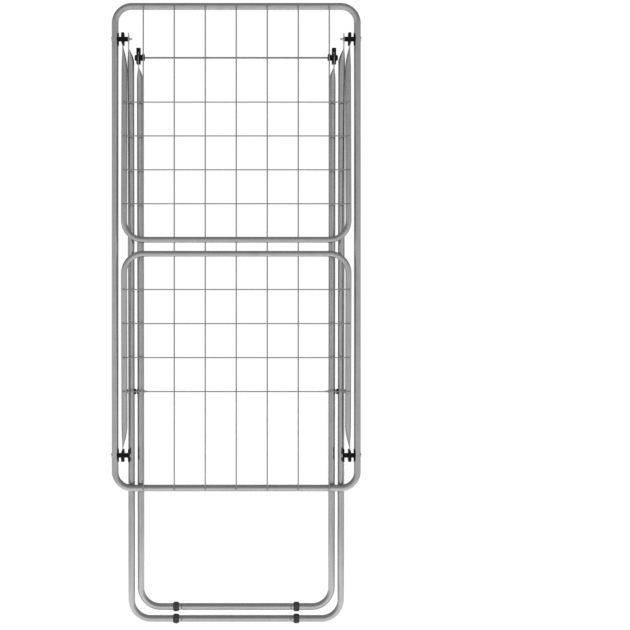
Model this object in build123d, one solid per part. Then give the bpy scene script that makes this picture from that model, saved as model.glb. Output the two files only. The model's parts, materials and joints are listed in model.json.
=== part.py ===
from build123d import *
import math
import os

# Folding winged clothes airer, folded flat and standing on its feet, in millimetres.
# +X is right, -Y is the front where the wings lie, +Z is up. The origin is on the floor,
# under the middle of the folded airer. Lateral places are given for the right-hand side
# as distances from the middle, and the left-hand side mirrors them.

# Tubes and wires
TUBE = 15.0  # rack and leg tube, outside diameter
TUBE_WALL = 0.8
WING_TUBE = 13.0
WING_TUBE_WALL = 0.7
RACK_WIRE = 2.8
WING_WIRE = 2.5
WELD_GAP = 0.05  # between a wire and the tube that it is welded on
WIRE_OVERHANG = 2.5  # of a wire's end past the middle of its tube
SEAM_GAP = 0.3  # between the two halves of a bent frame
SLEEVE_LENGTH = 70.0
SLEEVE_WALL = 0.8
SLEEVE_FIT = 0.1  # radial room of a sleeve in its tube

# Rack
RACK_SPACING = 533.0  # between the middles of the two side tubes
RACK_LENGTH = 1060.0  # between the middles of the two end bars
RACK_BEND = 36.5  # to the middle of the tube
RACK_WIRE_COUNT = 7
HINGE_SET = 72.0  # from an end bar to the hinge axis beside it

# Wings
WING_SIDE_GAP = 6.8  # between a wing's side tube and the rack's
WING_BAR_GAP = 30.7  # between the middles of the two folded wings' bars
WING_BEND = 42.0
WING_WIRE_COUNT = 4
WING_WIRE_PITCH = 74.5
WING_WIRE_FIRST = 78.0  # from the bar to the wire nearest to it
WING_REST_GAP = 0.3  # between a folded wing's bar and the rack's wires

# Legs
OUTER_LEG_SIDE_GAP = -0.3  # from a wing's side tube to the outer leg's, which passes behind it
INNER_LEG_SIDE_GAP = 5.7  # between the two legs' side tubes
OUTER_LEG_LENGTH = 1281.5  # from its hinge axis to the middle of its bar
LEG_BEND = 43.0
CROSSING = 776.5  # from the outer leg's hinge axis to the pivot where the legs cross
FOOT_NEST_GAP = 5.7  # between the feet of the two folded legs
LEG_REST_GAP = 0.5  # between a folded outer leg and the lower hinge washer

# Pressed-flat tube ends
FLAT_THICK = 1.8
OUTER_FLAT_SET = 4.7  # outwards from the middle of its tube, as the next two
INNER_FLAT_SET = 3.8
WING_FLAT_SET = 3.8
LEG_FLAT_WIDTH = 20.0
OUTER_FLAT_TIP = 12.5  # past the axis, as the next ones
OUTER_TIP_ROUNDING = 5.0
INNER_FLAT_TIP = 10.0  # shorter and round: it turns by close behind the wings' bars
INNER_TIP_ROUNDING = 9.9
LEG_FLAT_LENGTH = 21.0  # from the axis to the start of the taper
LEG_TAPER = 33.0
WING_FLAT_WIDTH = 18.0
WING_FLAT_TIP = 11.0
WING_TIP_ROUNDING = 6.0
WING_FLAT_LENGTH = 16.0
WING_TAPER = 55.0
FLAT_EDGE_ANGLE = 75.0  # where the round tube's arcs part into flats and edges

# Feet
FOOT_DIAMETER = 21.0
FOOT_WIDTH = 13.5
FOOT_ROUNDING = 4.0
FOOT_SPACING = 267.0
FOOT_FIT = 0.05

# Hinges between the rack, the wings and the outer leg
RIVET = 5.0
RIVET_HOLE_ROOM = 0.1  # on the diameter
RIVET_HEAD = 10.0
RIVET_HEAD_HEIGHT = 2.2
HINGE_HEAD_HEIGHT = 0.9  # on the outer sides of the rack, where it lies nearly flush
RIVET_TAIL = 4.0
RIVET_TAIL_LENGTH = 7.0
RIVET_COLLAR = 7.5
RIVET_COLLAR_HEIGHT = 1.2
SADDLE_HEIGHT = 28.0  # of the oval flange that hugs the tube
SADDLE_DEPTH = 13.0
SADDLE_WALL = 0.9
SADDLE_FIT = 0.05
BARREL = 10.5
BARREL_FIT = 0.05
CAP_HEIGHT = 27.5
CAP_WALL = 2.3  # over the faces of the wing's flat
CAP_RIM = 1.5  # over its edges
CAP_ROUNDING = 5.0
CAP_EDGE = 0.8
CAP_BEVEL = 1.8  # of the outer wall, down to the cap's mouth
CAP_BEVEL_HEIGHT = 9.0
CAP_FIT = 0.1
LEG_FLAT_GAP = 0.3  # between the barrel's end and the outer leg's flat
WASHER_HEIGHT = 28.0
WASHER_DEPTH = 19.0
WASHER_THICK = 4.0
WASHER_ROUNDING = 4.0

# Slider on the rack's outermost wires
AXLE = 4.0
AXLE_FIT = 0.05
CLEVIS_ROOM = 0.4  # on each face of the inner leg's flat
CLEVIS_CHEEK = 3.0
CLEVIS_STEP = 1.5  # of the cheeks back from the flat's front edge
CLEVIS_DEPTH = 18.3
CLEVIS_BOTTOM = 14.0  # below the axle
CLEVIS_ROUNDING = 4.5
BRIDGE_ROOM = 0.6  # over the flat's tip as it turns by
BRIDGE_HEIGHT = 10.8
BRIDGE_BACK = -3.4  # behind the axle, so that the inner leg can turn up behind the bridge
BOSS = 13.0
BOSS_SIDE_GAP = 0.8  # between the boss and the outer leg's tube
BOSS_ROUNDING = 3.0
AXLE_COVER = 1.4  # wall that closes the boss over the axle's end
GUIDE_SET = 7.3  # from the inner leg's side tube inwards to the guide wire, middle to middle
GUIDE_WALL = 1.2  # of the grooved lug on each side of the wire
GUIDE_LIP = 0.95  # how far the lug's lips reach past the middle of the wire
GUIDE_FIT = 0.05

# Pivot where the legs cross
PIVOT_WASHER = 12.0
PIVOT_WASHER_WRAP = 2.3
PIVOT_SHEAR_SET = 1.55  # from the inner leg's tube to the plane between the pivot's halves
PIVOT_SHEAR_GAP = 0.3
PIVOT_WASHER_STEP = 0.8  # of a washer's face back from its shank's end

# Worked-out sizes
TUBE_RADIUS = TUBE / 2
WING_RADIUS = WING_TUBE / 2
RACK_HALF = RACK_SPACING / 2
WING_HALF = RACK_HALF - TUBE_RADIUS - WING_SIDE_GAP - WING_RADIUS
OUTER_LEG_HALF = WING_HALF - WING_RADIUS - OUTER_LEG_SIDE_GAP - TUBE_RADIUS
INNER_LEG_HALF = OUTER_LEG_HALF - TUBE - INNER_LEG_SIDE_GAP
HINGE_SPAN = RACK_LENGTH - 2 * HINGE_SET
RACK_WIRE_FRONT = TUBE_RADIUS + WELD_GAP + RACK_WIRE  # reach in front of the rack's plane
WING_BAR_SET = RACK_WIRE_FRONT + WING_REST_GAP + WING_RADIUS
WING_REACH = (HINGE_SPAN - WING_BAR_GAP) / 2
WING_LENGTH = math.hypot(WING_REACH, WING_BAR_SET)  # from the hinge axis to the middle of the bar
WING_TILT = math.degrees(math.atan2(WING_BAR_SET, WING_REACH))
LEG_LEAN = math.degrees(math.atan((WASHER_DEPTH / 2 + LEG_REST_GAP + TUBE_RADIUS) / HINGE_SPAN))
# From the outer leg's hinge axis to the slider's axle: it leaves the feet their nest gap.
AXLE_SET = (FOOT_DIAMETER + FOOT_NEST_GAP) / (OUTER_LEG_LENGTH / CROSSING - 1)
INNER_CROSSING = CROSSING - AXLE_SET
# The two legs have the same share below the crossing, so the open airer stands level.
INNER_LEG_LENGTH = OUTER_LEG_LENGTH * INNER_CROSSING / CROSSING
LEAN_SINE = math.sin(math.radians(LEG_LEAN))
LEAN_COSINE = math.cos(math.radians(LEG_LEAN))
FRONT_REACH = WING_BAR_SET + WING_RADIUS
BACK_REACH = OUTER_LEG_LENGTH * LEAN_SINE + FOOT_DIAMETER / 2
RACK_Y = (FRONT_REACH - BACK_REACH) / 2  # centres the folded airer on the origin
UPPER_HINGE_Z = FOOT_DIAMETER / 2 + OUTER_LEG_LENGTH * LEAN_COSINE
LOWER_HINGE_Z = UPPER_HINGE_Z - HINGE_SPAN
TOP_BAR_Z = UPPER_HINGE_Z + HINGE_SET
BOTTOM_BAR_Z = TOP_BAR_Z - RACK_LENGTH
AXLE_Y = RACK_Y + AXLE_SET * LEAN_SINE
AXLE_Z = UPPER_HINGE_Z - AXLE_SET * LEAN_COSINE
OUTER_FLAT_PLACE = OUTER_LEG_HALF + OUTER_FLAT_SET
INNER_FLAT_PLACE = INNER_LEG_HALF + INNER_FLAT_SET
CAP_PLACE = WING_HALF + WING_FLAT_SET
CAP_WIDTH = FLAT_THICK + 2 * CAP_WALL
CAP_DEPTH = WING_FLAT_WIDTH + 2 * CAP_RIM
BARREL_END = OUTER_FLAT_PLACE + FLAT_THICK / 2 + LEG_FLAT_GAP
BOSS_END = OUTER_LEG_HALF - TUBE_RADIUS - BOSS_SIDE_GAP
GUIDE_PLACE = INNER_LEG_HALF - GUIDE_SET
GUIDE_WIDTH = RACK_WIRE + 2 * GUIDE_WALL
PIVOT_SHEAR = INNER_LEG_HALF + TUBE_RADIUS + PIVOT_SHEAR_SET
RACK_WIRE_PITCH = 2 * GUIDE_PLACE / (RACK_WIRE_COUNT - 1)
RACK_WIRE_Y = RACK_Y - TUBE_RADIUS - WELD_GAP - RACK_WIRE / 2
RIVET_HOLE = RIVET + RIVET_HOLE_ROOM
AXLE_HOLE = AXLE + 2 * AXLE_FIT
BARREL_HOLE = BARREL + 2 * BARREL_FIT

parts = {}


def mirrored(solid):
    """The left-hand twin of a right-hand piece."""
    return mirror(solid, about=Plane.YZ)


def rod_x(diameter, start, end, y=0.0, z=0.0):
    """A round rod along X between two lateral places."""
    rod = Cylinder(diameter / 2, end - start, rotation=(0, 90, 0))
    return Pos((start + end) / 2, y, z) * rod


def bent_tube(points, bend, outside, wall):
    """A hollow tube of straight runs and bends along the points."""
    path = FilletPolyline(*points, radius=bend)
    across = Plane(origin=path @ 0, z_dir=path % 0)
    skin = sweep(across * Circle(outside / 2), path=path)
    bore = sweep(across * Circle(outside / 2 - wall), path=path)
    return skin - bore


def round_section(place, height, radius):
    """A circle of four arcs, so that it lofts edge by edge into a flat section."""
    turn = math.radians(FLAT_EDGE_ANGLE)
    across = radius * math.cos(turn)
    deep = radius * math.sin(turn)
    right = place + across
    left = place - across
    corners = [(right, deep), (left, deep), (left, -deep), (right, -deep)]
    crowns = [(place, radius), (place - radius, 0), (place, -radius), (place + radius, 0)]
    edges = []
    for index, crown in enumerate(crowns):
        start = corners[index]
        end = corners[(index + 1) % 4]
        edges.append(ThreePointArc((*start, height), (*crown, height), (*end, height)))
    return make_face(edges)


def flat_section(place, height, width, thick):
    """A pressed tube's section: two flats across X, joined by two round edges."""
    half = thick / 2
    deep = width / 2 - half
    right = place + half
    left = place - half
    corners = [(right, deep), (left, deep), (left, -deep), (right, -deep)]
    points = [(*corner, height) for corner in corners]
    far_edge = ThreePointArc(points[0], (place, width / 2, height), points[1])
    near_edge = ThreePointArc(points[2], (place, -width / 2, height), points[3])
    return make_face([far_edge, Line(points[1], points[2]), near_edge, Line(points[3], points[0])])


def blade(width, tip, rounding, length):
    """A flat's outline about its axis: straight sides, and a tip with round corners."""
    outline = Pos(0, (tip - length) / 2) * Rectangle(width, tip + length)
    return fillet(outline.vertices().group_by(Axis.Y)[-1], rounding)


def flat_end(tube_place, flat_place, outside, wall, width, tip, rounding, length, taper, hole):
    """The pressed upper end of a tube: hollow taper, flat, tip and a hole on the axis."""
    taper_foot = -(length + taper)
    pinch = 0.3  # what is left of the bore where the walls meet
    skin = loft([
        round_section(tube_place, taper_foot, outside / 2),
        flat_section(flat_place, -length, width, FLAT_THICK),
    ])
    bore_top = -(length + taper / 8)
    bore_place = flat_place + (tube_place - flat_place) / 8
    bore = loft([
        round_section(tube_place, taper_foot, outside / 2 - wall),
        flat_section(bore_place, bore_top, width - 4 * wall, pinch),
    ])
    outline = Plane.YZ * blade(width, tip, rounding, length)
    flat = Pos(flat_place - FLAT_THICK / 2, 0, 0) * extrude(outline, FLAT_THICK)
    return skin - bore + flat - rod_x(hole, flat_place - FLAT_THICK, flat_place + FLAT_THICK)


def u_frame_half(
    half, length, bend, outside, wall, flat_place, width, tip, rounding, flat_length, taper, hole
):
    """Right half of a bent U frame that hangs from the axis at its origin."""
    top = -(flat_length + taper)
    points = [(half, 0, top), (half, 0, -length), (SEAM_GAP / 2, 0, -length)]
    tube = bent_tube(points, bend, outside, wall)
    return tube + flat_end(
        half, flat_place, outside, wall, width, tip, rounding, flat_length, taper, hole
    )


def joint_sleeve(outside, wall):
    """The short inner tube that joins two frame halves end to end."""
    diameter = outside - 2 * wall - 2 * SLEEVE_FIT
    return rod_x(diameter, -SLEEVE_LENGTH / 2, SLEEVE_LENGTH / 2) - rod_x(
        diameter - 2 * SLEEVE_WALL, -SLEEVE_LENGTH / 2, SLEEVE_LENGTH / 2
    )


def rivet_head(face, outward, height, skirt=0.0):
    """A domed rivet head on a lateral place, towards +X or -X, with a skirt behind the place."""
    head = Cylinder(RIVET_HEAD / 2, skirt + height, align=(Align.CENTER, Align.CENTER, Align.MIN))
    crown = head.edges().filter_by(GeomType.CIRCLE).sort_by(Axis.Z)[-1]
    head = fillet(crown, height * 0.8)
    return Pos(face, 0, 0) * Rot(0, 90 * outward, 0) * Pos(0, 0, -skirt) * head


def tube_rivet(half, inner_end, height):
    """A rivet through a tube: its head's skirt hugs the outer side, and its shank runs inwards."""
    side = half + TUBE_RADIUS
    skirt = TUBE_RADIUS - math.sqrt(TUBE_RADIUS**2 - (RIVET_HEAD / 2) ** 2)
    seat = Pos(half, 0, 0) * Cylinder(TUBE_RADIUS + SADDLE_FIT, 2 * RIVET_HEAD)
    return rivet_head(side, 1, height, skirt) - seat + rod_x(RIVET, inner_end, side + height / 2)


def pair(right):
    """A right-hand piece and its left-hand twin, as one group."""
    return [right, mirrored(right)]


def add(name, place, *solids):
    """Puts a node's solids in their place in the folded airer."""
    parts[name] = Compound(children=[place * solid for solid in solids])


# Rack: a closed frame of two bent C halves, butted at the middle of both end bars.
def rack_tube():
    points = [
        (SEAM_GAP / 2, 0, TOP_BAR_Z),
        (RACK_HALF, 0, TOP_BAR_Z),
        (RACK_HALF, 0, BOTTOM_BAR_Z),
        (SEAM_GAP / 2, 0, BOTTOM_BAR_Z),
    ]
    tube = bent_tube(points, RACK_BEND, TUBE, TUBE_WALL)
    for height in (UPPER_HINGE_Z, LOWER_HINGE_Z):
        tube -= rod_x(RIVET_HOLE, RACK_HALF - TUBE, RACK_HALF + TUBE, z=height)
    return tube


def rack_wire(place):
    length = RACK_LENGTH + 2 * WIRE_OVERHANG
    wire = Cylinder(RACK_WIRE / 2, length)
    return Pos(place, RACK_WIRE_Y, (TOP_BAR_Z + BOTTOM_BAR_Z) / 2) * wire


rack_place = Pos(0, RACK_Y, 0)
upper_hinge = Pos(0, RACK_Y, UPPER_HINGE_Z)
lower_hinge = Pos(0, RACK_Y, LOWER_HINGE_Z)

right_rack_tube = rack_tube()
add("rack_tube_right", rack_place, right_rack_tube)
add("rack_tube_left", rack_place, mirrored(right_rack_tube))
rack_sleeve = joint_sleeve(TUBE, TUBE_WALL)
rack_sleeves = [Pos(0, 0, height) * rack_sleeve for height in (TOP_BAR_Z, BOTTOM_BAR_Z)]
add("rack_joint_sleeves", rack_place, *rack_sleeves)
wire_places = [RACK_WIRE_PITCH * index - GUIDE_PLACE for index in range(RACK_WIRE_COUNT)]
add("rack_guide_wires", Pos(0, 0, 0), rack_wire(wire_places[0]), rack_wire(wire_places[-1]))
add("rack_wires", Pos(0, 0, 0), *[rack_wire(place) for place in wire_places[1:-1]])


# Hinges: a saddle bush on each side tube, with a barrel that the wing's cap turns on.
def saddle_bush():
    seat_radius = TUBE_RADIUS + SADDLE_FIT
    sheath = Pos(RACK_HALF, 0, 0) * Cylinder(seat_radius + SADDLE_WALL, SADDLE_HEIGHT)
    oval = Plane.YZ * Ellipse(SADDLE_DEPTH / 2, SADDLE_HEIGHT / 2)
    flange = sheath & (Pos(RACK_HALF, 0, 0) * extrude(oval, -TUBE))
    barrel = rod_x(BARREL, BARREL_END, RACK_HALF)
    seat = Pos(RACK_HALF, 0, 0) * Cylinder(seat_radius, 2 * SADDLE_HEIGHT)
    return flange + barrel - seat - rod_x(RIVET_HOLE, BARREL_END - 1, RACK_HALF)


saddle = saddle_bush()
add("upper_hinge_bushes", upper_hinge, *pair(saddle))
add("lower_hinge_bushes", lower_hinge, *pair(saddle))

washer_face = BARREL_END - LEG_FLAT_GAP
washer = Pos(washer_face - WASHER_THICK / 2, 0, 0) * Box(WASHER_THICK, WASHER_DEPTH, WASHER_HEIGHT)
washer = fillet(washer.edges().filter_by(Axis.X), WASHER_ROUNDING)
washer -= rod_x(RIVET_HOLE, washer_face - 2 * WASHER_THICK, washer_face + 1)
add("lower_hinge_washers", lower_hinge, *pair(washer))

# Rivets run from a domed head outside the side tube to the inner end of the stack.
flat_inside = OUTER_FLAT_PLACE - FLAT_THICK / 2 - LEG_FLAT_GAP
collar_end = flat_inside - RIVET_COLLAR_HEIGHT
upper_rivet = tube_rivet(RACK_HALF, flat_inside, HINGE_HEAD_HEIGHT)
upper_rivet += rod_x(RIVET_COLLAR, collar_end, flat_inside)
upper_rivet += rod_x(RIVET_TAIL, collar_end - RIVET_TAIL_LENGTH + RIVET_COLLAR_HEIGHT, collar_end)
add("upper_hinge_rivets", upper_hinge, *pair(upper_rivet))

washer_inside = washer_face - WASHER_THICK
lower_rivet = tube_rivet(RACK_HALF, washer_inside, HINGE_HEAD_HEIGHT)
lower_rivet += rivet_head(washer_inside, -1, RIVET_HEAD_HEIGHT)
add("lower_hinge_rivets", lower_hinge, *pair(lower_rivet))


# Wings: bent U frames whose pressed ends sit in caps that turn on the hinge barrels.
def wing_cap():
    block = Pos(CAP_PLACE, 0, 0) * Box(CAP_WIDTH, CAP_DEPTH, CAP_HEIGHT)
    block = fillet(block.edges().filter_by(Axis.X), CAP_ROUNDING)
    block = fillet(block.faces().filter_by(Axis.X).edges(), CAP_EDGE)
    thick = FLAT_THICK + 2 * CAP_FIT
    pocket_shape = blade(
        WING_FLAT_WIDTH + 2 * CAP_FIT, WING_FLAT_TIP + CAP_FIT, WING_TIP_ROUNDING + CAP_FIT, CAP_HEIGHT
    )
    pocket = Pos(CAP_PLACE - thick / 2, 0, 0) * extrude(Plane.YZ * pocket_shape, thick)
    outside = CAP_PLACE + CAP_WIDTH / 2
    mouth = -CAP_HEIGHT / 2
    bevel_shape = Polygon(
        (outside, mouth + CAP_BEVEL_HEIGHT),
        (outside - 2 * CAP_BEVEL, mouth - CAP_BEVEL_HEIGHT),
        (outside + 2 * CAP_BEVEL, mouth - CAP_BEVEL_HEIGHT),
        align=None,
    )
    block -= extrude(Plane.XZ * bevel_shape, CAP_DEPTH, both=True)
    return block - pocket - rod_x(BARREL_HOLE, CAP_PLACE - CAP_WIDTH, CAP_PLACE + CAP_WIDTH)


def wing_wire(distance):
    end = WING_HALF + WIRE_OVERHANG
    front = -(WING_RADIUS + WELD_GAP + WING_WIRE / 2)
    return rod_x(WING_WIRE, -end, end, y=front, z=-distance)


def add_wing(name, place, side, other_side):
    tube = u_frame_half(
        WING_HALF, WING_LENGTH, WING_BEND, WING_TUBE, WING_TUBE_WALL,
        CAP_PLACE, WING_FLAT_WIDTH, WING_FLAT_TIP, WING_TIP_ROUNDING, WING_FLAT_LENGTH, WING_TAPER,
        BARREL_HOLE + 2 * CAP_FIT,
    )
    cap = wing_cap()
    distances = [
        WING_LENGTH - WING_WIRE_FIRST - WING_WIRE_PITCH * index for index in range(WING_WIRE_COUNT)
    ]
    add(name + "_tube_" + side, place, tube)
    add(name + "_tube_" + other_side, place, mirrored(tube))
    add(name + "_joint_sleeve", place, Pos(0, 0, -WING_LENGTH) * joint_sleeve(WING_TUBE, WING_TUBE_WALL))
    add(name + "_wires", place, *[wing_wire(distance) for distance in distances])
    add(name + "_cap_" + side, place, cap)
    add(name + "_cap_" + other_side, place, mirrored(cap))


# The lower wing is the same frame turned end for end, so that it folds upwards.
add_wing("upper_wing", upper_hinge * Rot(-WING_TILT, 0, 0), "right", "left")
add_wing("lower_wing", lower_hinge * Rot(0, 180, 0) * Rot(-WING_TILT, 0, 0), "left", "right")


# Legs: bent U frames that cross behind the rack, each with two ring feet on its bar.
def leg_half(half, length, flat_place, tip, rounding, crossing, axis_hole):
    tube = u_frame_half(
        half, length, LEG_BEND, TUBE, TUBE_WALL,
        flat_place, LEG_FLAT_WIDTH, tip, rounding, LEG_FLAT_LENGTH, LEG_TAPER, axis_hole,
    )
    return tube - rod_x(RIVET_HOLE, half - TUBE, half + TUBE, z=-crossing)


def ring_foot():
    ring = Cylinder(FOOT_DIAMETER / 2, FOOT_WIDTH)
    ring = fillet(ring.edges().filter_by(GeomType.CIRCLE), FOOT_ROUNDING)
    ring -= Cylinder(TUBE_RADIUS + FOOT_FIT, 2 * FOOT_WIDTH)
    return Pos(FOOT_SPACING / 2, 0, 0) * Rot(0, 90, 0) * ring


def add_leg(name, place, half, length, flat_place, tip, rounding, crossing, axis_hole):
    tube = leg_half(half, length, flat_place, tip, rounding, crossing, axis_hole)
    bar = Pos(0, 0, -length)
    foot = bar * ring_foot()
    add(name + "_tube_right", place, tube)
    add(name + "_tube_left", place, mirrored(tube))
    add(name + "_joint_sleeve", place, bar * joint_sleeve(TUBE, TUBE_WALL))
    add(name + "_foot_right", place, foot)
    add(name + "_foot_left", place, mirrored(foot))


outer_leg_place = upper_hinge * Rot(LEG_LEAN, 0, 0)
inner_leg_place = Pos(0, AXLE_Y, AXLE_Z) * Rot(LEG_LEAN, 0, 0)
add_leg(
    "outer_leg", outer_leg_place, OUTER_LEG_HALF, OUTER_LEG_LENGTH,
    OUTER_FLAT_PLACE, OUTER_FLAT_TIP, OUTER_TIP_ROUNDING, CROSSING, RIVET_HOLE,
)
add_leg(
    "inner_leg", inner_leg_place, INNER_LEG_HALF, INNER_LEG_LENGTH,
    INNER_FLAT_PLACE, INNER_FLAT_TIP, INNER_TIP_ROUNDING, INNER_CROSSING, AXLE_HOLE,
)


# Crossing pivot: a saddle washer on each leg, and a rivet parted between the two legs.
def pivot_washer(half, face, towards):
    """A washer from its flat face back over the side of a leg's tube."""
    back = half + towards * (TUBE_RADIUS - PIVOT_WASHER_WRAP)
    ring = rod_x(PIVOT_WASHER, min(face, back), max(face, back))
    seat = Pos(half, 0, 0) * Cylinder(TUBE_RADIUS + SADDLE_FIT, 2 * PIVOT_WASHER)
    return ring - seat - rod_x(RIVET_HOLE, min(face, back) - 1, max(face, back) + 1)


outer_shank_end = PIVOT_SHEAR + PIVOT_SHEAR_GAP / 2
inner_shank_end = PIVOT_SHEAR - PIVOT_SHEAR_GAP / 2
outer_pivot_place = outer_leg_place * Pos(0, 0, -CROSSING)
inner_pivot_place = inner_leg_place * Pos(0, 0, -INNER_CROSSING)

outer_pivot_rivet = tube_rivet(OUTER_LEG_HALF, outer_shank_end, RIVET_HEAD_HEIGHT)
add("outer_pivot_rivets", outer_pivot_place, *pair(outer_pivot_rivet))
outer_pivot_washer = pivot_washer(OUTER_LEG_HALF, outer_shank_end + PIVOT_WASHER_STEP, -1)
add("outer_pivot_washers", outer_pivot_place, *pair(outer_pivot_washer))

inner_side = INNER_LEG_HALF - TUBE_RADIUS
inner_collar_end = inner_side - RIVET_COLLAR_HEIGHT
inner_pivot_rivet = rod_x(RIVET, inner_side, inner_shank_end)
inner_pivot_rivet += rod_x(RIVET_COLLAR, inner_collar_end, inner_side)
inner_pivot_rivet += rod_x(
    RIVET_TAIL, inner_collar_end - RIVET_TAIL_LENGTH + RIVET_COLLAR_HEIGHT, inner_collar_end
)
add("inner_pivot_rivets", inner_pivot_place, *pair(inner_pivot_rivet))
inner_pivot_washer = pivot_washer(INNER_LEG_HALF, inner_shank_end - PIVOT_WASHER_STEP, 1)
add("inner_pivot_washers", inner_pivot_place, *pair(inner_pivot_washer))


# Slider: a moulded clevis for the inner leg's flat, held on a guide wire by a grooved lug.
def slider():
    slot = FLAT_THICK + 2 * CLEVIS_ROOM
    clevis_width = slot + 2 * CLEVIS_CHEEK
    clevis_inside = INNER_FLAT_PLACE - clevis_width / 2
    clevis_outside = INNER_FLAT_PLACE + clevis_width / 2
    front = -(LEG_FLAT_WIDTH / 2 - CLEVIS_STEP)
    corner_across = LEG_FLAT_WIDTH / 2 - INNER_TIP_ROUNDING
    corner_up = INNER_FLAT_TIP - INNER_TIP_ROUNDING
    bridge_underside = math.hypot(corner_across, corner_up) + INNER_TIP_ROUNDING + BRIDGE_ROOM
    top = bridge_underside + BRIDGE_HEIGHT
    height = top + CLEVIS_BOTTOM
    middle = (front + CLEVIS_DEPTH / 2, (top - CLEVIS_BOTTOM) / 2)
    clevis = Pos(INNER_FLAT_PLACE, *middle) * Box(clevis_width, CLEVIS_DEPTH, height)
    clevis = fillet(clevis.edges().filter_by(Axis.X), CLEVIS_ROUNDING)
    opening = Box(slot, 2 * CLEVIS_DEPTH, 2 * height)
    under_bridge = Pos(INNER_FLAT_PLACE, 0, bridge_underside - height) * opening
    behind_bridge = Pos(INNER_FLAT_PLACE, BRIDGE_BACK + CLEVIS_DEPTH, 0) * opening
    boss = rod_x(BOSS, clevis_outside - CLEVIS_CHEEK, BOSS_END)
    boss = fillet(boss.edges().filter_by(GeomType.CIRCLE).sort_by(Axis.X)[-1], BOSS_ROUNDING)
    guide_inside = GUIDE_PLACE - GUIDE_WIDTH / 2
    barrel = rod_x(BOSS, guide_inside, clevis_inside + CLEVIS_CHEEK)
    wire_y = RACK_WIRE_Y - AXLE_Y
    lug_front = wire_y - GUIDE_LIP
    lug = Pos(GUIDE_PLACE, lug_front / 2, 0) * Box(GUIDE_WIDTH, -lug_front, BOSS)
    groove = Pos(GUIDE_PLACE, wire_y, 0) * Cylinder(RACK_WIRE / 2 + GUIDE_FIT, 2 * BOSS)
    axle_bore = rod_x(AXLE_HOLE, guide_inside - 1, BOSS_END - AXLE_COVER)
    return clevis - under_bridge - behind_bridge + boss + barrel + lug - groove - axle_bore


slider_place = Pos(0, AXLE_Y, AXLE_Z)
right_slider = slider()
axle_end = BOSS_END - AXLE_COVER - AXLE_FIT
add("slider_right", slider_place, right_slider)
add("slider_left", slider_place, mirrored(right_slider))
add("slider_axle", slider_place, rod_x(AXLE, -axle_end, axle_end))

os.makedirs("parts", exist_ok=True)
for name, node in parts.items():
    export_step(node, "parts/" + name + ".step")
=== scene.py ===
import json
import math

import bpy
import numpy as np
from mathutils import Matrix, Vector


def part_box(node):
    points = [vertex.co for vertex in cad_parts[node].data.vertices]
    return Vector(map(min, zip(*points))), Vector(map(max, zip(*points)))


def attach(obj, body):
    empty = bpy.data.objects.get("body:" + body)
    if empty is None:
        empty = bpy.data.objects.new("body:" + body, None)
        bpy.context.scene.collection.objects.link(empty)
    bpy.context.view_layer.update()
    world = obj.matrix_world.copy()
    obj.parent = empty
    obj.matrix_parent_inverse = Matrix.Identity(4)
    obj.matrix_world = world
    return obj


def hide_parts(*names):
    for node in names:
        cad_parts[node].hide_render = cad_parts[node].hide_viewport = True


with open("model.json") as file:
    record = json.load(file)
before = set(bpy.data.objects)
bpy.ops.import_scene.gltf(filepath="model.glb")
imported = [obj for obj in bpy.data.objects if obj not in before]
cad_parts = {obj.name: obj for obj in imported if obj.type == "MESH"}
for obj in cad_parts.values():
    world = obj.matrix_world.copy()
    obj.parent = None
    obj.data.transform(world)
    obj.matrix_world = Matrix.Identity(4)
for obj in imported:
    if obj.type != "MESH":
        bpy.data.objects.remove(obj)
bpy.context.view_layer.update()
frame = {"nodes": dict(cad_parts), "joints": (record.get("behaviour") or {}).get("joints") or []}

# Rack frame. The airer's main frame is two bent halves of thin steel tube, butted at the middle of
# both end bars over a hidden inner sleeve. The tube is drawn steel under a satin silver-grey coat.
SIDEWAYS = np.array([1.0, 0.0, 0.0])
UPWARDS = np.array([0.0, 0.0, 1.0])
MIRROR = np.array([-1.0, 1.0, 1.0])
TUBE_SIDES = 48
RUN_STEP = 0.025
MERGED_DIGITS = 6
BEND_STEPS = 26
TUBE_WALL = 0.0008
BORE_DEPTH = 0.045
RACK_BEND = 0.0365
BEND_FLATTENING = 0.035
SHARP_EDGE = math.radians(38)
COAT_GREY = 0.39
MOTTLE_SCALE = 38.0
MOTTLE_DETAIL = 5.0
MOTTLE_SPAN = (0.3, 0.7)
GRAIN_DETAIL = 3.0
GRAIN_RELIEF = 0.5
GLOSS_SPREAD = 0.06

rack_low, rack_high = np.array(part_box("rack_tube_right"))
tube_radius = (rack_high[1] - rack_low[1]) / 2
rack_y = (rack_high[1] + rack_low[1]) / 2
rack_half = rack_high[0] - tube_radius
rack_top = rack_high[2] - tube_radius
rack_bottom = rack_low[2] + tube_radius
seam = rack_low[0]


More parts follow.
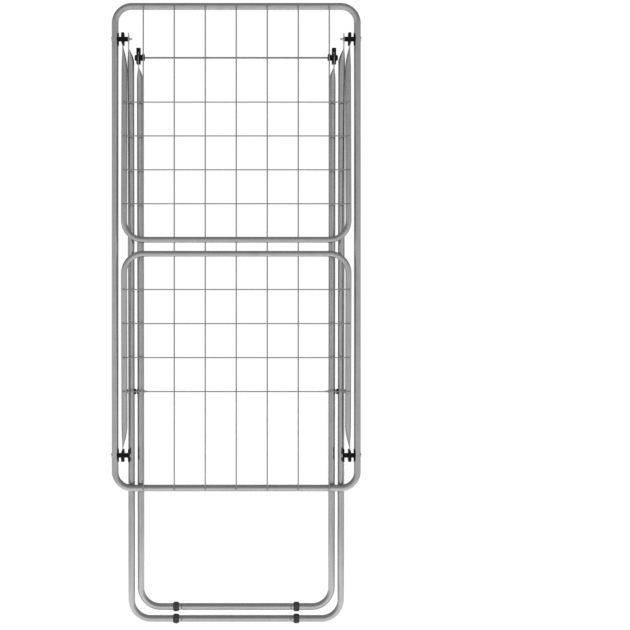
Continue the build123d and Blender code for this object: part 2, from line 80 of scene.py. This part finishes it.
def bent_line(corners, bend, fine_zones=()):
    """Points, unit tangents, distances and bend shares along straight runs and quarter-round bends.

    A run goes from corner to corner, less the bend radius at each bend. At an angle a into a bend the
    point is centre + bend * (sin a * old direction - cos a * new direction), and the tangent is
    cos a * old direction + sin a * new direction. The bend share is sin(2a), and 0 on the runs.
    A fine zone is a (start, end, step) of distance that gets extra points on its run.
    """
    corners = np.array(corners)
    headings = np.diff(corners, axis=0)
    spans = np.linalg.norm(headings, axis=1)
    headings = headings / spans[:, None]
    last = len(spans) - 1
    points, tangents, distances, shares = [], [], [], []
    gone = 0.0
    for index, heading in enumerate(headings):
        start = corners[index] + heading * (bend if index > 0 else 0.0)
        run = spans[index] - (bend if index > 0 else 0.0) - (bend if index < last else 0.0)
        marks = [np.linspace(0.0, run, max(2, math.ceil(run / RUN_STEP)))]
        marks += [np.arange(low, high, step) - gone for low, high, step in fine_zones]
        along = np.unique(np.round(np.concatenate(marks), MERGED_DIGITS))
        along = along[(along >= 0.0) & (along <= run + 10.0**-MERGED_DIGITS)]
        points.append(start + along[:, None] * heading)
        tangents.append(np.tile(heading, (len(along), 1)))
        distances.append(gone + along)
        shares.append(np.zeros(len(along)))
        gone += run
        if index < last:
            turn = np.linspace(0.0, math.pi / 2, BEND_STEPS + 1)[1:-1, None]
            following = headings[index + 1]
            centre = start + run * heading + bend * following
            points.append(centre + bend * (np.sin(turn) * heading - np.cos(turn) * following))
            tangents.append(np.cos(turn) * heading + np.sin(turn) * following)
            distances.append(gone + bend * turn[:, 0])
            shares.append(np.sin(2 * turn[:, 0]))
            gone += bend * math.pi / 2
    return tuple(np.concatenate(values) for values in (points, tangents, distances, shares))


def round_offsets(radius, shares):
    """A circle at each station, a little flatter in the plane of a bend: (in plane, out of plane).

    In the plane it is radius * (1 - flattening * bend share) * cos, and out of it radius * sin.
    """
    turn = np.linspace(0.0, 2 * math.pi, TUBE_SIDES, endpoint=False)
    in_plane = radius * (1.0 - BEND_FLATTENING * shares)[:, None] * np.cos(turn)
    out_of_plane = np.tile(radius * np.sin(turn), (len(shares), 1))
    return np.stack([in_plane, out_of_plane], axis=-1)


def carried_rings(points, tangents, offsets, origin, along):
    """A profile carried along a line in the plane of X and along: ring = point + side * u + normal * v.

    The side is the tangent turned a quarter in the plane, and the normal is X cross along.
    """
    sides = np.stack([-tangents[:, 1], tangents[:, 0]], axis=1)
    centres = origin + points[:, :1] * SIDEWAYS + points[:, 1:] * along
    side_axes = sides[:, :1] * SIDEWAYS + sides[:, 1:] * along
    normal = np.cross(SIDEWAYS, along)
    return centres[:, None] + side_axes[:, None] * offsets[..., :1] + normal * offsets[..., 1:]


def open_end(rings, wall, radius, inwards):
    """A tube's cut end: the last ring drawn in by the wall, and that ring again, deep in the bore."""
    middle = rings[-1].mean(axis=0)
    mouth = middle + (rings[-1] - middle) * (1.0 - wall / radius)
    return np.concatenate([rings, [mouth], [mouth + BORE_DEPTH * inwards]])


def closed_skin(rings):
    """Vertices and faces over stacked rings: quads between neighbours, and a fan to a pole at each end."""
    count, around = rings.shape[:2]
    corner = np.arange(around)
    following = np.roll(corner, -1)
    base = around * np.arange(count - 1)[:, None]
    quads = np.stack(
        [base + corner, base + following, base + around + following, base + around + corner], axis=-1
    ).reshape(-1, 4)
    top = around * (count - 1)
    first_fan = np.stack([following, corner, np.full(around, count * around)], axis=1)
    last_fan = np.stack([top + corner, top + following, np.full(around, count * around + 1)], axis=1)
    poles = [rings[0].mean(axis=0), rings[-1].mean(axis=0)]
    vertices = np.concatenate([rings.reshape(-1, 3), poles])
    return vertices, quads, np.concatenate([first_fan, last_fan])


def repeated(skins):
    """Several closed skins as one: each skin's face numbers move up by the vertices before it."""
    vertices, quads, fans = [], [], []
    before = 0
    for skin in skins:
        vertices.append(skin[0])
        quads.append(skin[1] + before)
        fans.append(skin[2] + before)
        before += len(skin[0])
    return np.concatenate(vertices), np.concatenate(quads), np.concatenate(fans)


def enclosed_volume(vertices, quads, fans):
    """Six times the signed volume, as the sum of a . (b x c) over the triangles."""
    triangles = np.concatenate([quads[:, [0, 1, 2]], quads[:, [0, 2, 3]], fans])
    a, b, c = (vertices[triangles[:, corner]] for corner in range(3))
    return np.einsum("ij,ij->", a, np.cross(b, c))


def new_piece(name, skin, material, body, slot, *nodes):
    """A mesh of a closed skin, faces outwards, that rides on a body and stands for the named nodes."""
    vertices, quads, fans = skin
    if enclosed_volume(vertices, quads, fans) < 0:
        quads = quads[:, ::-1]
        fans = fans[:, ::-1]
    mesh = bpy.data.meshes.new(name)
    mesh.from_pydata(vertices.tolist(), [], quads.tolist() + fans.tolist())
    mesh.shade_smooth()
    mesh.set_sharp_from_angle(angle=SHARP_EDGE)
    mesh.materials.append(material)
    piece = bpy.data.objects.new(name, mesh)
    bpy.context.scene.collection.objects.link(piece)
    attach(piece, body)
    if nodes:
        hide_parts(*nodes)


def grained_surface(name, grey, metallic, roughness, mottle, grain, grain_height, shine=0.5):
    """A grey finish with soft mottling, uneven roughness and a fine raised grain, all from noise."""
    material = bpy.data.materials.new(name)
    material.use_nodes = True
    nodes = material.node_tree.nodes
    links = material.node_tree.links
    shader = nodes["Principled BSDF"]
    shader.inputs["Metallic"].default_value = metallic
    shader.inputs["Specular IOR Level"].default_value = shine
    place = nodes.new("ShaderNodeTexCoord")

    cloud = nodes.new("ShaderNodeTexNoise")
    cloud.inputs["Scale"].default_value = MOTTLE_SCALE
    cloud.inputs["Detail"].default_value = MOTTLE_DETAIL
    links.new(place.outputs["Object"], cloud.inputs["Vector"])
    tones = nodes.new("ShaderNodeValToRGB")
    for element, position, share in zip(tones.color_ramp.elements, MOTTLE_SPAN, (1.0 - mottle, 1.0 + mottle)):
        element.position = position
        element.color = (grey * share, grey * share, grey * share, 1.0)
    links.new(cloud.outputs["Fac"], tones.inputs["Fac"])
    links.new(tones.outputs["Color"], shader.inputs["Base Color"])

    speckle = nodes.new("ShaderNodeTexNoise")
    speckle.inputs["Scale"].default_value = grain
    speckle.inputs["Detail"].default_value = GRAIN_DETAIL
    links.new(place.outputs["Object"], speckle.inputs["Vector"])
    sheen = nodes.new("ShaderNodeMapRange")
    sheen.inputs["To Min"].default_value = roughness - GLOSS_SPREAD
    sheen.inputs["To Max"].default_value = roughness + GLOSS_SPREAD
    links.new(speckle.outputs["Fac"], sheen.inputs["Value"])
    links.new(sheen.outputs["Result"], shader.inputs["Roughness"])
    relief = nodes.new("ShaderNodeBump")
    relief.inputs["Strength"].default_value = GRAIN_RELIEF
    relief.inputs["Distance"].default_value = grain_height
    links.new(speckle.outputs["Fac"], relief.inputs["Height"])
    links.new(relief.outputs["Normal"], shader.inputs["Normal"])
    return material


satin_coat = grained_surface(
    "satin_coat", COAT_GREY, metallic=0.85, roughness=0.20, mottle=0.05, grain=1400.0, grain_height=0.00003
)

rack_corners = [(seam, rack_top), (rack_half, rack_top), (rack_half, rack_bottom), (seam, rack_bottom)]
rack_points, rack_tangents, _, rack_shares = bent_line(rack_corners, RACK_BEND)
rack_profile = round_offsets(tube_radius, rack_shares)
rack_rings = carried_rings(rack_points, rack_tangents, rack_profile, np.array([0.0, rack_y, 0.0]), UPWARDS)
rack_rings = open_end(rack_rings, TUBE_WALL, tube_radius, SIDEWAYS)
rack_rings = open_end(rack_rings[::-1], TUBE_WALL, tube_radius, SIDEWAYS)
for side, rings in (("right", rack_rings), ("left", rack_rings * MIRROR)):
    new_piece("rack_frame_" + side, closed_skin(rings), satin_coat, "rack", "tube_metal", "rack_tube_" + side)


# Rack wires. Seven straight steel wires run the length of the rack, resistance-welded on the front of
# both end bars. They have the same grey coat. The two outer ones also guide the sliders.
RACK_WIRE_COUNT = 7
WIRE_SIDES = 20
WIRE_GREY = 0.31
WIRE_END_BEVEL = 0.0004
ASKEW = np.array([0.3, 0.8, 0.5])
BACKWARDS = np.array([0.0, 1.0, 0.0])
WELD_LENGTH = 0.0042
WELD_WIDTH = 0.0021
WELD_HEIGHT = 0.0009
WELD_RINGS = 9
WELD_TIP = 0.96

wire_coat = grained_surface(
    "wire_coat", WIRE_GREY, metallic=0.8, roughness=0.45, mottle=0.04, grain=1600.0, grain_height=0.00002
)
guide_low, guide_high = np.array(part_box("rack_guide_wires"))
rack_wire_radius = (guide_high[1] - guide_low[1]) / 2
guide_place = guide_high[0] - rack_wire_radius
rack_wire_y = (guide_high[1] + guide_low[1]) / 2


def straight_wire(start, end, radius):
    """A round wire between two points: start + heading * distance + radius * (cos, sin) on two sides.

    The first side is heading x askew, a direction that no wire has, and each cut end has a small bevel.
    """
    start = np.array(start)
    run = np.array(end) - start
    length = np.linalg.norm(run)
    heading = run / length
    first_side = np.cross(heading, ASKEW)
    first_side = first_side / np.linalg.norm(first_side)
    second_side = np.cross(heading, first_side)
    turn = np.linspace(0.0, 2 * math.pi, WIRE_SIDES, endpoint=False)[:, None]
    circle = radius * (np.cos(turn) * first_side + np.sin(turn) * second_side)
    stations = np.array([0.0, WIRE_END_BEVEL, length / 2, length - WIRE_END_BEVEL, length])
    swell = np.array([1.0 - WIRE_END_BEVEL / radius, 1.0, 1.0, 1.0, 1.0 - WIRE_END_BEVEL / radius])
    rings = start + stations[:, None, None] * heading + swell[:, None, None] * circle
    return closed_skin(rings)


def weld_bead(middle, along, across, outwards):
    """The metal pressed out at a weld: an ellipsoid on the touching line of a wire and its tube.

    At a rise r along it, the waist is sqrt(1 - r^2), times the bead's width and height.
    """
    rise = np.linspace(-WELD_TIP, WELD_TIP, WELD_RINGS)[:, None, None]
    turn = np.linspace(0.0, 2 * math.pi, WIRE_SIDES, endpoint=False)[:, None]
    waist = np.sqrt(1.0 - rise**2)
    lengthwise = WELD_LENGTH * rise * along
    crosswise = WELD_WIDTH * waist * np.cos(turn) * across
    upwards = WELD_HEIGHT * waist * np.sin(turn) * outwards
    return closed_skin(np.array(middle) + lengthwise + crosswise + upwards)


wire_places = np.linspace(-guide_place, guide_place, RACK_WIRE_COUNT)
wires = [
    straight_wire((place, rack_wire_y, guide_low[2]), (place, rack_wire_y, guide_high[2]), rack_wire_radius)
    for place in wire_places
]
guide_wires = [wires[0], wires[-1]]
new_piece("rack_wire_guides", repeated(guide_wires), wire_coat, "rack", "wire_metal", "rack_guide_wires")
new_piece("rack_wire_grid", repeated(wires[1:-1]), wire_coat, "rack", "wire_metal", "rack_wires")

weld_y = rack_y - tube_radius
rack_welds = [
    weld_bead((place, weld_y, height), UPWARDS, SIDEWAYS, BACKWARDS)
    for place in wire_places
    for height in (rack_top, rack_bottom)
]
new_piece("rack_weld_beads", repeated(rack_welds), wire_coat, "rack", "wire_metal")


# Wings. Each wing is a U of thinner tube in the same coat, in two butted halves. Its two ends are
# pressed flat and pierced for the hinges, and four cross wires are welded on its front.
WING_BEND = 0.042
WING_RADIUS = 0.0065
WING_WALL = 0.0007
WING_WIRE_COUNT = 4
WING_WIRE_RADIUS = 0.00125
WING_FLAT = {
    "half_width": 0.009, "tip": 0.011, "rounding": 0.006, "length": 0.016, "taper": 0.055, "set": 0.0038,
    "hole": 0.0054,
}
FLAT_HALF_THICK = 0.0009
FLAT_EDGE_POWER = 0.22
PRESS_STEP = 0.0015
TIP_STEP = PRESS_STEP / 3
STEP_ROOM = PRESS_STEP / 10
HOLE_COLUMNS = 3
HOLE_BLOCK_STRETCH = 1.15
CRIMP_REACH = 3
CRIMP_STEPS = 3


def hole_block(flat):
    """The faces to leave out for a flat's hole: columns on each side of its middle, and half their length.

    Columns lie at width * sin(turn), so the fewest that clear the hole are asin(hole / width) / step.
    """
    step = 2 * math.pi / TUBE_SIDES
    columns = max(HOLE_COLUMNS, math.ceil(math.asin(flat["hole"] / flat["half_width"]) / step))
    return columns, HOLE_BLOCK_STRETCH * flat["half_width"] * math.sin(columns * step)


def pierced_skin(rings, hinge, along, flat):
    """The skin over a pressed tube's rings, with a round hole through its flat on the hinge's axis.

    A block of faces is left out on both sides of the flat. The block's border is drawn to a circle,
    axis + hole radius * direction from the axis, and a wall of faces joins the two borders.
    """
    vertices, quads, fans = closed_skin(rings)
    columns, length = hole_block(flat)
    opposite = TUBE_SIDES // 2
    beside = np.abs((rings.mean(axis=1) - hinge) @ along) < length + STEP_ROOM
    first, last = np.flatnonzero(beside)[[0, -1]]
    ring, column = np.divmod(np.arange(len(quads)), TUBE_SIDES)
    kept = (ring < first) | (ring >= last) | ((column + columns) % opposite >= 2 * columns)

    run = last - first
    border_ring = [np.full(2 * columns, first), np.arange(first, last)]
    border_ring += [np.full(2 * columns, last), np.arange(last, first, -1)]
    border_column = [np.arange(-columns, columns), np.full(run, columns)]
    border_column += [np.arange(columns, -columns, -1), np.full(run, -columns)]
    row = np.concatenate(border_ring) * TUBE_SIDES
    place = np.concatenate(border_column)
    front = row + place % TUBE_SIDES
    back = row + (opposite - place) % TUBE_SIDES
    for border in (front, back):
        arm = vertices[border, 1:] - hinge[1:]
        arm = arm / np.linalg.norm(arm, axis=1, keepdims=True)
        vertices[border, 1:] = hinge[1:] + flat["hole"] * arm
    wall = np.stack([front, np.roll(front, -1), np.roll(back, -1), back], axis=1)
    quads = np.concatenate([quads[kept], wall])

    used = np.unique(np.concatenate([quads.ravel(), fans.ravel()]))
    renumbered = np.zeros(len(vertices), dtype=int)
    renumbered[used] = np.arange(len(used))
    return vertices[used], renumbered[quads], renumbered[fans]


def pressed_u_frame(hinge, bar, half, bend, radius, wall, flat, crimps=()):
    """The skin of a U frame's right half, from its pressed tip on the hinge to the middle of its bar.

    The section goes from a flat to the round tube over the taper, by s = sin(pi t / 2). The flat is
    thickness * sign(cos) * |cos|^p against width * sin, narrowed by a round at the corners of the tip.
    A crimp is (distance from the middle of the bar, turn round the tube, width along the bar, width
    round it, depth), and takes depth * exp(-a^2 - b^2) off the radius. The bend cuts its corner, so the
    whole line is shorter than its two legs by bend * (2 - pi / 2).
    """
    reach = bar - hinge
    length = np.linalg.norm(reach)
    along = reach / length
    tip = flat["tip"]
    rounding = flat["rounding"]
    taper_start = tip + flat["length"]
    taper_end = taper_start + flat["taper"]
    whole = tip + length + half - bend * (2 - math.pi / 2)
    fine_zones = [(0.0, rounding, TIP_STEP), (taper_start, taper_end, PRESS_STEP)]
    columns, block = hole_block(flat)
    fine_zones.append((tip - block, tip + block + STEP_ROOM, block / columns))
    for place, _, width, *_ in crimps:
        crimp_reach = CRIMP_REACH * width
        fine_zones.append((whole - place - crimp_reach, whole - place + crimp_reach, width / CRIMP_STEPS))
    corners = [(half, -tip), (half, length), (seam, length)]
    points, tangents, distances, shares = bent_line(corners, bend, fine_zones)

    turn = np.linspace(0.0, 2 * math.pi, TUBE_SIDES, endpoint=False)
    tube = round_offsets(radius, shares)
    for place, around, width, spread, depth in crimps:
        beside = (distances - (whole - place)) / width
        round_it = radius * (np.mod(turn - around + math.pi, 2 * math.pi) - math.pi) / spread
        dip = depth * np.exp(-(beside[:, None] ** 2) - round_it**2)
        tube *= (1.0 - dip / radius)[..., None]
    from_tip = np.minimum(distances, rounding)
    blade_width = flat["half_width"] - rounding + np.sqrt(rounding**2 - (rounding - from_tip) ** 2)
    thickness = FLAT_HALF_THICK * np.sign(np.cos(turn)) * np.abs(np.cos(turn)) ** FLAT_EDGE_POWER
    blade_depth = blade_width[:, None] * np.sin(turn)
    blade = np.stack([np.tile(thickness - flat["set"], (len(distances), 1)), blade_depth], axis=-1)

    share = np.clip((distances - taper_start) / flat["taper"], 0.0, 1.0)
    share = np.sin(math.pi / 2 * share)[:, None, None]
    rings = carried_rings(points, tangents, blade + share * (tube - blade), hinge, along)
    return pierced_skin(open_end(rings, wall, radius, SIDEWAYS), hinge, along, flat)


def add_u_frame(name, body, skin):
    """Both halves of a U frame, as two pieces that stand for the body's two tubes."""
    vertices, quads, fans = skin
    for side, placed in (("right", vertices), ("left", vertices * MIRROR)):
        node = body + "_tube_" + side
        new_piece(name + "_" + side, (placed, quads, fans), satin_coat, body, "tube_metal", node)


def joint_axis(name):
    """The place of a hinge joint's axis, in the middle of the airer."""
    for joint in frame["joints"]:
        if joint["name"] == name:
            return np.array([0.0, *joint["pos_m"][1:]])


for wing in ("upper_wing", "lower_wing"):
    hinge = joint_axis(wing + "_fold")
    bar = np.mean(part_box(wing + "_joint_sleeve"), axis=0)
    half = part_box(wing + "_tube_right")[1][0] - WING_RADIUS
    wing_half = pressed_u_frame(hinge, bar, half, WING_BEND, WING_RADIUS, WING_WALL, WING_FLAT)
    add_u_frame(wing + "_frame", wing, wing_half)

    wire_low, wire_high = np.array(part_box(wing + "_wires"))
    front = wire_low[1] + WING_WIRE_RADIUS
    back = wire_high[1] - WING_WIRE_RADIUS
    heights = [wire_low[2] + WING_WIRE_RADIUS, wire_high[2] - WING_WIRE_RADIUS]
    # The wing leans forward from its hinges, so the wire nearest the bar is the front one.
    if bar[2] > hinge[2]:
        heights.reverse()
    lines = np.linspace([0.0, front, heights[0]], [0.0, back, heights[1]], WING_WIRE_COUNT)
    reach = wire_high[0] * SIDEWAYS
    rungs = [straight_wire(line - reach, line + reach, WING_WIRE_RADIUS) for line in lines]
    new_piece(wing + "_wire_rungs", repeated(rungs), wire_coat, wing, "wire_metal", wing + "_wires")

    lengthwise = (bar - hinge) / np.linalg.norm(bar - hinge)
    behind = np.cross(SIDEWAYS, lengthwise)
    behind = behind * np.sign(behind[1])
    welds = [
        weld_bead(line + place * SIDEWAYS + WING_WIRE_RADIUS * behind, SIDEWAYS, lengthwise, behind)
        for line in lines
        for place in (-half, half)
    ]
    new_piece(wing + "_weld_beads", repeated(welds), wire_coat, wing, "wire_metal")


# Legs. Two U frames of the rack's tube cross behind it: the outer one hangs on the upper hinges, the
# inner one on the sliders. A crimp beside each foot keeps it from creeping along the bar.
LEG_BEND = 0.043
FRONT_OF_TUBE = -math.pi / 2
OUTER_FLAT = {
    "half_width": 0.010, "tip": 0.0125, "rounding": 0.005, "length": 0.021, "taper": 0.033, "set": 0.0047,
    "hole": 0.00255,
}
INNER_FLAT = dict(OUTER_FLAT, tip=0.0100, rounding=0.0099, set=0.0038, hole=0.00205)
CRIMP_GAP = 0.0119
CRIMP_WIDTH = 0.0008
CRIMP_SPREAD = 0.0115
CRIMP_DEPTH = 0.0018

legs = {"outer_leg": ("outer_leg_fold", OUTER_FLAT), "inner_leg": ("inner_leg_turn", INNER_FLAT)}
for leg, (hinge_name, flat) in legs.items():
    foot = np.mean(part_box(leg + "_foot_right"), axis=0)
    crimp = (foot[0] - CRIMP_GAP, FRONT_OF_TUBE, CRIMP_WIDTH, CRIMP_SPREAD, CRIMP_DEPTH)
    hinge = joint_axis(hinge_name)
    bar = np.array([0.0, foot[1], foot[2]])
    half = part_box(leg + "_tube_right")[1][0] - tube_radius
    leg_half = pressed_u_frame(hinge, bar, half, LEG_BEND, tube_radius, TUBE_WALL, flat, [crimp])
    add_u_frame(leg + "_frame", leg, leg_half)


# Plain steel. The sleeves in the butted bars and the hinge and pivot rivets are zinc-plated, pressed or
# driven in. The sliders' long axle is a straight rod in the wires' grey coat.
PLATE_GREY = 0.52


def dress(material, *names):
    """A finish for the named nodes, whose solids already have the real shape."""
    for name in names:
        mesh = frame["nodes"][name].data
        mesh.materials.clear()
        mesh.materials.append(material)


plated_steel = grained_surface(
    "plated_steel", PLATE_GREY, metallic=0.95, roughness=0.30, mottle=0.06, grain=1600.0, grain_height=0.00003
)
dress(
    plated_steel,
    "rack_joint_sleeves", "upper_wing_joint_sleeve", "lower_wing_joint_sleeve",
    "outer_leg_joint_sleeve", "inner_leg_joint_sleeve",
    "upper_hinge_rivets", "lower_hinge_rivets", "outer_pivot_rivets", "inner_pivot_rivets",
)
dress(wire_coat, "slider_axle")


# Black fittings. The hinge bushes, caps, washers and sliders are moulded in black plastic with a
# fine matt grain, and turn or slide without oil.
PLASTIC_BLACK = 0.006

black_plastic = grained_surface(
    "black_plastic", PLASTIC_BLACK, metallic=0.0, roughness=0.46, mottle=0.2, grain=2600.0,
    grain_height=0.00005, shine=0.13,
)
dress(
    black_plastic,
    "upper_hinge_bushes", "lower_hinge_bushes", "lower_hinge_washers",
    "outer_pivot_washers", "inner_pivot_washers", "slider_right", "slider_left",
    "upper_wing_cap_right", "upper_wing_cap_left", "lower_wing_cap_right", "lower_wing_cap_left",
)


# Feet. Four soft black rings pushed on the two leg bars. They grip the floor and keep the coat
# off it.
RUBBER_BLACK = 0.045

foot_rubber = grained_surface(
    "foot_rubber", RUBBER_BLACK, metallic=0.0, roughness=0.55, mottle=0.15, grain=1500.0,
    grain_height=0.00008, shine=0.35,
)
dress(
    foot_rubber,
    "outer_leg_foot_right", "outer_leg_foot_left", "inner_leg_foot_right", "inner_leg_foot_left",
)


# Floor, light and camera. A white studio: a pale floor, a soft light on each side of the front, and
# surroundings that are white to the eye. What the metal mirrors is darker overhead, and brightest in
# a painted ring of light on the floor round the airer, which glows though it is no lamp and is dimmer
# in its middle, a painted contact shadow.
FLOOR_SIZE = 14.0
FLOOR_WHITE = 0.9
# Painted pool of light on the floor, as (distance, glow); its dip at the middle is a painted shadow.
PAINTED_LIGHT_RING = ((0.0, 1.5), (0.2, 1.6), (0.32, 1.95), (0.95, 1.15))
FLOOR_GLOW_SHARE = 0.75
OVERHEAD = 0.37
BRIGHT_BELOW = -0.12
DIM_ABOVE = 0.53
AMBIENT = 0.62
WHITE_BELOW = 0.28
LAMP_POWER = 30.0
LAMP_SIZE = 1.6
LAMP_ASIDE = 2.2
LAMP_BEFORE = 2.4
LAMP_HEIGHT = 1.5
LAMP_TILT = math.radians(75)
LAMP_TURN = math.radians(42)
CAMERA_DISTANCE = 2.6
CAMERA_HEIGHT = 0.6846
CAMERA_LENS = 67.5
SENSOR_WIDTH = 36.0
CAMERA_SHIFT = 0.125

scene = bpy.context.scene
scene.view_settings.view_transform = "Standard"

floor_corners = [(-1, -1, 0), (1, -1, 0), (1, 1, 0), (-1, 1, 0)]
floor_mesh = bpy.data.meshes.new("floor")
floor_mesh.from_pydata((np.array(floor_corners) * FLOOR_SIZE / 2).tolist(), [], [(0, 1, 2, 3)])
floor = bpy.data.objects.new("floor", floor_mesh)
scene.collection.objects.link(floor)


def seen_directly(nodes, links):
    """The light path, and 1 for what the eye, a mirror-like or a see-through surface shows, or else 0."""
    path = nodes.new("ShaderNodeLightPath")
    eye_or_gloss = nodes.new("ShaderNodeMath")
    eye_or_gloss.operation = "MAXIMUM"
    links.new(path.outputs["Is Camera Ray"], eye_or_gloss.inputs[0])
    links.new(path.outputs["Is Glossy Ray"], eye_or_gloss.inputs[1])
    either = nodes.new("ShaderNodeMath")
    either.operation = "MAXIMUM"
    links.new(eye_or_gloss.outputs["Value"], either.inputs[0])
    links.new(path.outputs["Is Transmission Ray"], either.inputs[1])
    return path, either


# The eye looks mostly through the floor to the white below it, and the rest is paint, which takes the
# shadow. In the place of that white, the metal mirrors the ring of light, a painted pool of light in
# the floor's glow with a painted contact shadow in its middle.
floor_material = bpy.data.materials.new("floor_paint")
floor_material.use_nodes = True
floor_nodes = floor_material.node_tree.nodes
floor_links = floor_material.node_tree.links
floor_nodes.remove(floor_nodes["Principled BSDF"])
paint = floor_nodes.new("ShaderNodeBsdfDiffuse")
paint.inputs["Color"].default_value = (FLOOR_WHITE, FLOOR_WHITE, FLOOR_WHITE, 1.0)
glow = floor_nodes.new("ShaderNodeEmission")
spot = floor_nodes.new("ShaderNodeTexCoord")
from_middle = floor_nodes.new("ShaderNodeVectorMath")
from_middle.operation = "LENGTH"
floor_links.new(spot.outputs["Object"], from_middle.inputs[0])
ring = floor_nodes.new("ShaderNodeValToRGB")
for distance, _ in PAINTED_LIGHT_RING[1:-1]:
    ring.color_ramp.elements.new(distance)
for element, (distance, level) in zip(ring.color_ramp.elements, PAINTED_LIGHT_RING):
    element.position = distance
    element.color = (level, level, level, 1.0)
floor_links.new(from_middle.outputs["Value"], ring.inputs["Fac"])
floor_links.new(ring.outputs["Color"], glow.inputs["Color"])
clear = floor_nodes.new("ShaderNodeBsdfTransparent")
path, either = seen_directly(floor_nodes, floor_links)
direct = floor_nodes.new("ShaderNodeMixShader")
floor_links.new(path.outputs["Is Camera Ray"], direct.inputs["Fac"])
floor_links.new(glow.outputs["Emission"], direct.inputs[1])
floor_links.new(clear.outputs["BSDF"], direct.inputs[2])
glow_share = floor_nodes.new("ShaderNodeMath")
glow_share.operation = "MULTIPLY"
glow_share.inputs[1].default_value = FLOOR_GLOW_SHARE
floor_links.new(either.outputs["Value"], glow_share.inputs[0])
blend = floor_nodes.new("ShaderNodeMixShader")
floor_links.new(glow_share.outputs["Value"], blend.inputs["Fac"])
floor_links.new(paint.outputs["BSDF"], blend.inputs[1])
floor_links.new(direct.outputs["Shader"], blend.inputs[2])
floor_links.new(blend.outputs["Shader"], floor_nodes["Material Output"].inputs["Surface"])
floor_mesh.materials.append(floor_material)

# The metal mirrors a dome that darkens overhead, and a dimmer copy of it lights the airer. The eye sees
# plain white, a little stronger below the floor, to make up for the paint.
world = bpy.data.worlds.new("studio")
world.use_nodes = True
scene.world = world
sky_nodes = world.node_tree.nodes
sky_links = world.node_tree.links
direction = sky_nodes.new("ShaderNodeTexCoord")
parts = sky_nodes.new("ShaderNodeSeparateXYZ")
sky_links.new(direction.outputs["Generated"], parts.inputs["Vector"])
dome = sky_nodes.new("ShaderNodeMapRange")
dome.interpolation_type = "SMOOTHSTEP"
dome.inputs["From Min"].default_value = BRIGHT_BELOW
dome.inputs["From Max"].default_value = DIM_ABOVE
dome.inputs["To Min"].default_value = 1.0
dome.inputs["To Max"].default_value = OVERHEAD
sky_links.new(parts.outputs["Z"], dome.inputs["Value"])
mirrored_sky = sky_nodes.new("ShaderNodeBackground")
sky_links.new(dome.outputs["Result"], mirrored_sky.inputs["Color"])
ambient_sky = sky_nodes.new("ShaderNodeBackground")
ambient_sky.inputs["Strength"].default_value = AMBIENT
sky_links.new(dome.outputs["Result"], ambient_sky.inputs["Color"])
white_sky = sky_nodes.new("ShaderNodeBackground")
white_sky.inputs["Color"].default_value = (1.0, 1.0, 1.0, 1.0)
path, either = seen_directly(sky_nodes, sky_links)
whiteness = sky_nodes.new("ShaderNodeMath")
whiteness.operation = "MULTIPLY_ADD"
whiteness.inputs[1].default_value = WHITE_BELOW
whiteness.inputs[2].default_value = 1.0
sky_links.new(path.outputs["Transparent Depth"], whiteness.inputs[0])
sky_links.new(whiteness.outputs["Value"], white_sky.inputs["Strength"])
lit = sky_nodes.new("ShaderNodeMixShader")
sky_links.new(either.outputs["Value"], lit.inputs["Fac"])
sky_links.new(ambient_sky.outputs["Background"], lit.inputs[1])
sky_links.new(mirrored_sky.outputs["Background"], lit.inputs[2])
shown = sky_nodes.new("ShaderNodeMixShader")
sky_links.new(path.outputs["Is Camera Ray"], shown.inputs["Fac"])
sky_links.new(lit.outputs["Shader"], shown.inputs[1])
sky_links.new(white_sky.outputs["Background"], shown.inputs[2])
sky_links.new(shown.outputs["Shader"], sky_nodes["World Output"].inputs["Surface"])

for side in (-1, 1):
    lamp_data = bpy.data.lights.new("side_lamp", "AREA")
    lamp_data.energy = LAMP_POWER
    lamp_data.size = LAMP_SIZE
    lamp = bpy.data.objects.new("side_lamp", lamp_data)
    lamp.location = (side * LAMP_ASIDE, rack_y - LAMP_BEFORE, LAMP_HEIGHT)
    lamp.rotation_euler = (LAMP_TILT, 0.0, side * LAMP_TURN)
    lamp.visible_glossy = False
    scene.collection.objects.link(lamp)

camera_data = bpy.data.cameras.new("camera")
camera_data.sensor_width = SENSOR_WIDTH
camera_data.lens = CAMERA_LENS
camera_data.shift_x = CAMERA_SHIFT
camera = bpy.data.objects.new("camera", camera_data)
camera.location = (0.0, rack_y - CAMERA_DISTANCE, CAMERA_HEIGHT)
camera.rotation_euler = (math.pi / 2, 0.0, 0.0)
scene.collection.objects.link(camera)
scene.camera = camera
